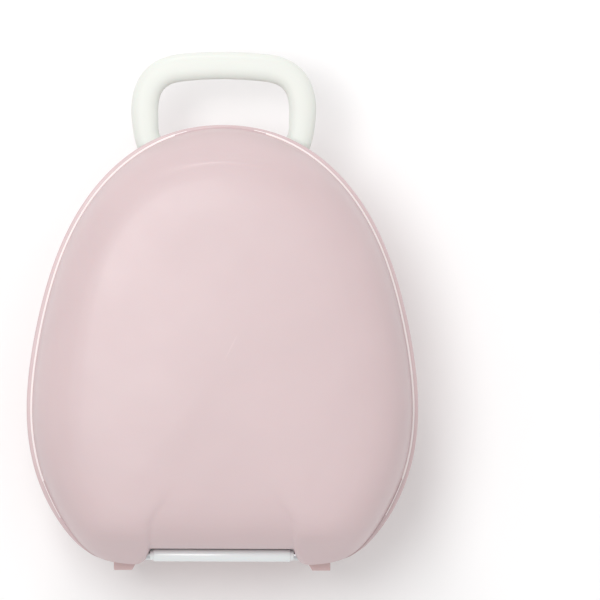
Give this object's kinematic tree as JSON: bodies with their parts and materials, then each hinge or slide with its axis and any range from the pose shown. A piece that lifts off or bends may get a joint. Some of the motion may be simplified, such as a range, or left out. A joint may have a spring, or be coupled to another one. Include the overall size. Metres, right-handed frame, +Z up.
{
  "type": "potty training chair",
  "caption": "Portable clamshell potty: egg-shaped carry case with hinged lid, sealing plug, lift-out pot with splash guard, and fold-down handle.",
  "frame": {"origin": "centre of the bounding box in plan, on the floor under the feet, with the lid shut and the handle out", "axes": "+Z up, +Y from the handle at the narrow front to the lid hinge at the wide rear, +X to the right seen from the front"},
  "size_m": [0.2898, 0.3856, 0.175],
  "materials": {
    "pink_shell": "satin moulded polypropylene, pale pink",
    "pink_gasket": "soft matt elastomer, pink",
    "white_shell": "smooth semi-gloss moulded polypropylene, white",
    "white_pot": "smooth semi-gloss moulded polypropylene, cool white",
    "white_handle": "satin moulded polypropylene, warm white",
    "foot_rubber": "matt grey anti-slip elastomer",
    "steel": "plain zinc-plated steel"
  },
  "bodies": {
    "root": {"base_shell": "pink_shell", "seat_frame": "white_shell", "inner_pot": "white_pot", "foot_pad_front_left": "foot_rubber", "foot_pad_rear_left": "foot_rubber", "foot_pad_front_right": "foot_rubber", "foot_pad_rear_right": "foot_rubber", "base_screw_1_left": "steel", "base_screw_1_right": "steel", "base_screw_2_left": "steel", "base_screw_2_right": "steel", "base_screw_3_left": "steel", "base_screw_3_right": "steel", "hinge_pin_left": "steel", "hinge_pin_right": "steel", "handle_pin_left": "steel", "handle_pin_right": "steel"},
    "lid": {"lid_shell": "pink_shell", "lid_liner": "white_shell", "plug_carrier": "white_shell", "seal_gasket": "pink_gasket", "plug_cover": "white_shell", "latch_hook": "white_shell", "plug_screw_1_left": "steel", "plug_screw_2_left": "steel", "plug_screw_1_right": "steel", "plug_screw_2_right": "steel"},
    "handle": {"carry_handle": "white_handle", "handle_bush_left": "white_shell", "handle_bush_right": "white_shell"}
  },
  "joints": [
    {"name": "lid_hinge", "type": "hinge", "parent": "root", "child": "lid", "pos_m": [0, 0.18075, 0.1298], "axis": [-1, 0, 0], "range_deg": [0, 120]},
    {"name": "handle_pivot", "type": "hinge", "parent": "root", "child": "handle", "pos_m": [0, -0.11975, 0.099], "axis": [1, 0, 0], "range_deg": [0, 93]}
  ]
}
